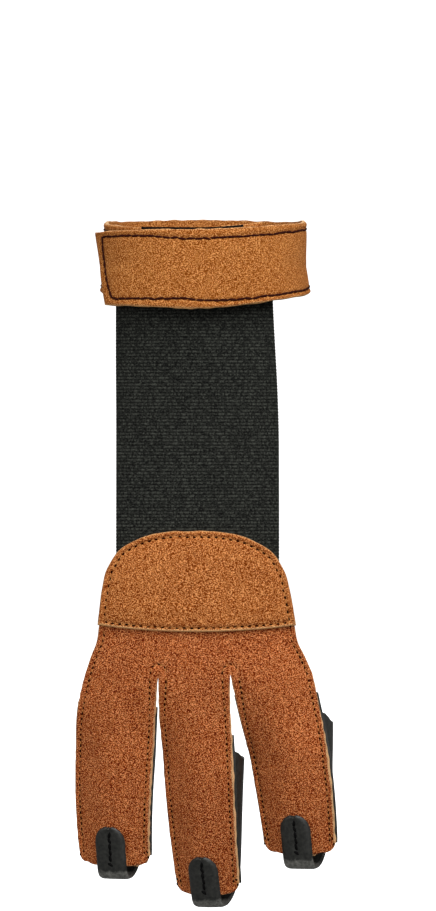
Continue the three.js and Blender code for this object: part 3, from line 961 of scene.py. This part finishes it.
strap_hide = suede_finish(
    "strap_hide", (122, 56, 6), (162, 90, 30), (212, 138, 68), (234, 176, 116)
)
strap = cut_sheet(
    "strap_suede",
    [
        {
            "columns": 400,
            "rows": 56,
            "net": strap_net,
            "face": strap_face,
            "high": strap_high,
            "low": lambda p, q: 0 * p,
            "cut": strap_cut,
        }
    ],
    (strap_hide, lit_raw_tan),
    "wrist_strap",
)
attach(strap, "root")

round_run = np.linspace(strap_length - 8, 3.2, 500)
end_run = np.linspace(strap_width - 2.5, 2.4, 40)
strap_p = np.concatenate((round_run, strap_rows(0, end_run)[2], round_run[::-1]))
strap_q = np.concatenate(
    (strap_width - strap_rows(round_run, 0)[1], end_run, strap_rows(round_run[::-1], 0)[0])
)
strap_q = strap_q + uneven(strap_p, strap_q, 15, 6, 0.3)
sew(
    "strap_stitches",
    [(strap_face, strap_p, strap_q, suede - 0.12)],
    (dark_thread, needle_hole_shade),
    pitch=2.6,
    length=3.0,
    width=0.8,
    sink=0.05,
    seed=8,
    bend=0.22,
    stray=4,
)

# Fastening tapes. Black hook tape sewn inside the strap's free end grips black loop tape on the
# turn below it. Only a dark line of them shows between the two turns.
tape_width, tape_start, tape_end = 24.6, -44, 34
hook_tape_inset, loop_tape_lift = 2.6, 1
fastening, tree, shader = blank("fastening_tape")
place = node(tree, "TexCoord").outputs["Object"]
loops = node(tree, "TexVoronoi", {"Vector": place, "Scale": 1500}).outputs["Distance"]
colour = colour_ramp(tree, loops, (0, linear(20, 19, 18)), (1, linear(8, 7, 6)))
fill(shader, {"Base Color": colour, "Roughness": 0.8, "Specular IOR Level": 0.1})
fill(shader, {"Normal": bumped(tree, loops, 0.8, 0.0003)})
for name, seat, width, lift in (
    ("loop_tape", loop_seat, tape_width, loop_tape_lift),
    ("hook_tape", hook_seat, tape_width - hook_tape_inset, 0),
):

    def tape_face(p, q, seat=seat, width=width, lift=lift):
        angle = tape_start + p / strap_degree
        return round_wrist(angle, strap_centre(angle) + lift + width / 2 - q, seat + 0 * p)

    length = (tape_end - tape_start) * strap_degree
    band = cut_sheet(
        name + "_pile",
        [
            {
                "columns": 70,
                "rows": 40,
                "net": lambda a, d: (a * length, d * width),
                "face": tape_face,
                "high": lambda p, q: tape + 0.08 * np.sin(p * 9) * np.sin(q * 9),
                "low": lambda p, q: 0 * p,
            }
        ],
        (fastening, fastening),
        name,
    )
    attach(band, "root")

# Stalls. A smooth black leather cup round the palm side of each finger. Its flanges are sewn
# under the strip's edges, and its mouth has a tongue on each side.
leather = 1.2
stall_short = 2.6
stall_flange, stall_inset, stall_proud, stall_peep = 3.3, 2.5, 0.5, 0.3
stall_depth, stall_tip_depth, stall_squareness, stall_shoulder = 17, 14.6, 2.6, 0.52
fold_reach, fold_sink, fold_turn = 1.5, 0.45, 0.5
stall_taper, tongue_shoulder, tongue_end = 0.5, 0.4, 0.3


def stall_share(finger, down):
    start = finger["length"] - finger["stall"]
    return np.clip((down - start) / (finger["stall"] - stall_short), 0, 1)


def cup_depth(finger, down):
    return mix(stall_depth, stall_tip_depth, stall_share(finger, down))


def half_section(finger, down, hand):
    """One side of a stall's section: side, depth and share of the tongue, from flange to palm."""
    share = stall_share(finger, down)
    edge = half_strip(finger, min(down, finger["length"] - stall_short))
    flare = finger["flare"] * (1 - share) ** finger["flare_fall"] if hand > 0 else 0
    wide = finger["belly"] / 2 - stall_inset - stall_taper * share + flare
    deepest = cup_depth(finger, down) - leather / 2
    under = clearance + leather / 2

    def flange(side):
        x = crown_share(finger, side, down)
        slope = finger_crown * 4 * x * (1 - x**2) / full_half(finger, down)
        size = math.hypot(1, slope)
        fall = crown_fall(finger, side, down)
        return np.array((side - under * slope / size, fall + under / size))

    inner = flange(edge - stall_flange)
    outer = flange(edge + (stall_proud if hand > 0 else stall_peep))
    middle = (deepest + inner[1]) / 2
    reach = deepest - middle

    def cup(angle):
        power = 2 / stall_squareness
        rise = math.copysign(abs(math.sin(angle)) ** power, math.sin(angle))
        return np.array((wide * abs(math.cos(angle)) ** power, middle + rise * reach))

    shoulder = cup(-stall_shoulder)
    first = inner - fold_reach * np.array((1, fold_sink))
    second = shoulder - fold_reach * np.array((fold_turn, 1))
    line = [(*outer, 1), (*mix(outer, inner, 0.5), 1)]
    for t in np.linspace(0, 1, 9):
        spot = (1 - t) ** 3 * inner + 3 * (1 - t) ** 2 * t * first
        spot = spot + 3 * (1 - t) * t * t * second + t**3 * shoulder
        line.append((*spot, 1 - (1 - tongue_shoulder) * t))
    for k in np.linspace(0, 1, 15)[1:]:
        spot = cup(mix(-stall_shoulder, math.pi / 2, k))
        line.append((*spot, tongue_shoulder * (1 - ease(0, tongue_end, k))))
    return [(side * hand, depth, tongue) for side, depth, tongue in line]


black_thread = thread_finish("black_thread", linear(10, 10, 10))
black_leather, tree, shader = blank("black_leather")
place = node(tree, "TexCoord").outputs["Object"]
pebble = node(tree, "TexVoronoi", {"Vector": place, "Scale": 1300}).outputs["Distance"]
creased = noise(tree, place, 900, 4, 0.65)
# The "cut" attribute here marks the tip straps' bends, which turn pale grey: partly real wear of
# the stretched grain, partly painted light standing for light on the downward-facing bend.
worn_and_lit = node(tree, "Attribute", attribute_name="cut").outputs["Fac"]
hide = colour_ramp(tree, creased, (0.3, linear(27, 28, 26)), (0.75, linear(58, 58, 54)))
scuffed_and_lit = ranged(tree, product(tree, worn_and_lit, creased), 0.2, 0.65)
colour = node(tree, "Mix", {0: scuffed_and_lit, 6: hide, 7: linear(150, 149, 142)}, data_type="RGBA")
gloss = node(tree, "MapRange", {"Value": creased, "To Min": 0.3, "To Max": 0.5}).outputs[0]
height = scaled(tree, pebble, -0.4, creased)
fill(shader, {"Base Color": colour.outputs[2], "Roughness": gloss, "Specular IOR Level": 0.45})
fill(shader, {"Normal": bumped(tree, height, 0.35, 0.0003)})


def moulded(name, points, thickness, finishes, node_name, worn_and_lit=None):
    """A leather piece whose middle follows rows of points, with even thickness."""
    rows, columns = points.shape[:2]
    bm = bmesh.new()
    uv = bm.loops.layers.uv.new("UVMap")
    bmesh.ops.create_grid(bm, x_segments=columns - 1, y_segments=rows - 1, size=0.5)
    # This layer marks where the pale grey goes: partly wear, partly painted light.
    pale_bend_layer = bm.verts.layers.float.new("cut")
    for v in bm.verts:
        r, c = round((0.5 - v.co.y) * (rows - 1)), round((v.co.x + 0.5) * (columns - 1))
        v.co = points[r, c] * 0.001
        v[pale_bend_layer] = 0 if worn_and_lit is None else worn_and_lit[r, c]
        for loop in v.link_loops:
            loop[uv].uv = (c / columns, r / rows)
    mesh = bpy.data.meshes.new(name)
    bm.to_mesh(mesh)
    bm.free()
    mesh.shade_smooth()
    for finish in finishes:
        mesh.materials.append(finish)
    piece = bpy.data.objects.new(name, mesh)
    scene.collection.objects.link(piece)
    wall = piece.modifiers.new("wall", "SOLIDIFY")
    wall.thickness = thickness * 0.001
    wall.offset = 0
    wall.material_offset_rim = 1
    soft = piece.modifiers.new("soft_edge", "BEVEL")
    soft.width = 0.0003
    soft.segments = 2
    soft.limit_method = "ANGLE"
    soft.angle_limit = math.radians(50)
    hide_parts(node_name)
    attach(piece, "root")
    return piece


stall_rows = 44
for finger in fingers:
    start, end = finger["length"] - finger["stall"], finger["length"] - stall_short

    def section(down):
        left, right = half_section(finger, down, -1), half_section(finger, down, 1)
        return np.array(left + right[::-1][1:])

    tongue = section(start)[:, 2] * finger["tongue"]
    count = len(tongue)
    points = np.zeros((stall_rows + 1, count, 3))
    for r in range(stall_rows + 1):
        for c in range(count):
            down = mix(start - tongue[c], end, r / stall_rows)
            hand = -1 if c <= count // 2 else 1
            half = half_section(finger, down, hand)
            side, depth, _ = half[c] if c <= count // 2 else half[count - 1 - c]
            points[r, c] = in_finger(finger, side, depth, down)
    moulded(
        finger["name"] + "_stall",
        points,
        leather,
        (black_leather, black_leather),
        "stall_" + finger["name"],
    )

# Tip straps. A short loop of black leather over the end of each strip. It is sewn to the strip's
# face by a row along its middle, bends round the fingertip and is sewn to the stall's palm side.
tip_width, tip_rise, tip_palm_run = 9.3, 13.4, 9
tip_inset, loop_squareness = 0.5, 0.8
grey_edge = suede_finish(
    "raw_leather", (30, 30, 28), (52, 51, 48), (78, 77, 72), (90, 88, 84)
)


def tip_path(finger):
    """Rows of the loop: how far down, depth, half width, crown and lean."""
    out = -(suede + clearance + leather / 2)
    back = stall_tip_depth + clearance + leather / 2
    end = finger["length"] - tip_inset
    middle, reach = (out + back) / 2, (back - out) / 2
    drop = finger["drop"] - leather / 2 + tip_inset
    face = tip_rise - tip_inset
    rows = []
    for share in (0, 0.015, 0.05, 0.11, 0.2, 0.34, 0.55, 0.78):
        rows.append((end - face * (1 - share), out, face * share, 1, 0))
    for k in range(13):
        angle = k / 12 * math.pi
        rows.append(
            (
                end + drop * abs(math.sin(angle)) ** loop_squareness,
                middle - reach * math.cos(angle),
                tip_width,
                1 - ease(0, 5, k),
                0.5 - 0.5 * math.cos(angle),
            )
        )
    for share in (0.3, 0.6, 0.84, 0.94, 1):
        down = end - tip_palm_run * share
        depth = float(cup_depth(finger, down)) + clearance + leather / 2
        rows.append((down, depth, down - (end - tip_palm_run), 0, 1))
    return np.array(rows, float)


def refine(values, times):
    """More rows between rows, on a smooth curve through them."""
    count = len(values)
    at = np.arange((count - 1) * times + 1) / times
    k = np.minimum(at.astype(int), count - 2)
    t = (at - k).reshape(-1, *([1] * (values.ndim - 1)))
    p0, p1 = values[np.maximum(k - 1, 0)], values[k]
    p2, p3 = values[k + 1], values[np.minimum(k + 2, count - 1)]
    return 0.5 * (
        2 * p1 + (p2 - p0) * t + (2 * p0 - 5 * p1 + 4 * p2 - p3) * t**2
        + (3 * p1 - p0 - 3 * p2 + p3) * t**3
    )  # fmt: skip


tip_columns = 20
middle_column = tip_columns // 2
for finger in fingers:
    path = tip_path(finger)
    rounded = np.clip(path[:, 2] / (tip_width / 2) + 0.012, 0, 1)
    half = tip_width / 2 * np.sqrt(1 - (1 - rounded) ** 2)
    across = np.linspace(-1, 1, tip_columns + 1)
    points = []
    for (down, depth, _, crown, lean), wide in zip(path, half):
        side = finger["loop_lean"] * lean + wide * across
        curve = crown * crown_fall(finger, side, min(down, finger["length"]))
        points.append(in_finger(finger, side, depth + curve, down + 0 * side))
    points = refine(np.array(points), 4)
    step_down, step_across = np.gradient(points, axis=0), np.gradient(points, axis=1)
    normal = unit(np.cross(step_down, step_across))
    steps = np.linalg.norm(np.diff(points[:, middle_column], axis=0), axis=1)
    run = np.concatenate(([0], np.cumsum(steps)))
    centre = np.abs(across)[None, :]
    on_face = (1 - ease(13, 17, run))[:, None]
    pucker = 0.55 * np.exp(-((centre / 0.28) ** 2)) * on_face
    swell = uneven(4 * across[None, :], run[:, None], 30, 3.5, 0.22) * np.exp(-centre / 0.5)
    roll = 0.35 * np.clip(centre - 0.78, 0, 1) ** 2 / 0.05
    points = points + normal * (swell * on_face - pucker - roll)[..., None]
    # The bend's pale grey is partly worn grain and partly painted light on the downward-facing
    # bend; it also gives the rims there the edge finish's palest tone.
    bend = (ease(12.5, 17, run) * (1 - ease(24, 28, run)))[:, None] + 0 * centre
    moulded(
        finger["name"] + "_tip_strap",
        points,
        leather,
        (black_leather, grey_edge),
        "tip_strap_" + finger["name"],
        worn_and_lit=bend,
    )
    seam = points[:, middle_column] + normal[:, middle_column] * (leather / 2)
    keep = (run > 1.2) & (run < 13.5)

    def seam_face(p, q, seam=seam, run=run):
        spot = np.stack([np.interp(q, run, seam[:, k]) for k in range(3)], -1)
        return spot + np.asarray(p)[..., None] * np.array((1.0, 0, 0))

    at = run[keep]
    sew(
        finger["name"] + "_tip_stitches",
        [(seam_face, uneven(at, 0 * at, 31, 4, 0.5), at, 0.1)],
        (black_thread, needle_hole_shade),
        pitch=2.1,
        length=2.4,
        width=1.0,
        seed=11,
        bend=0.2,
        stray=24,
    )
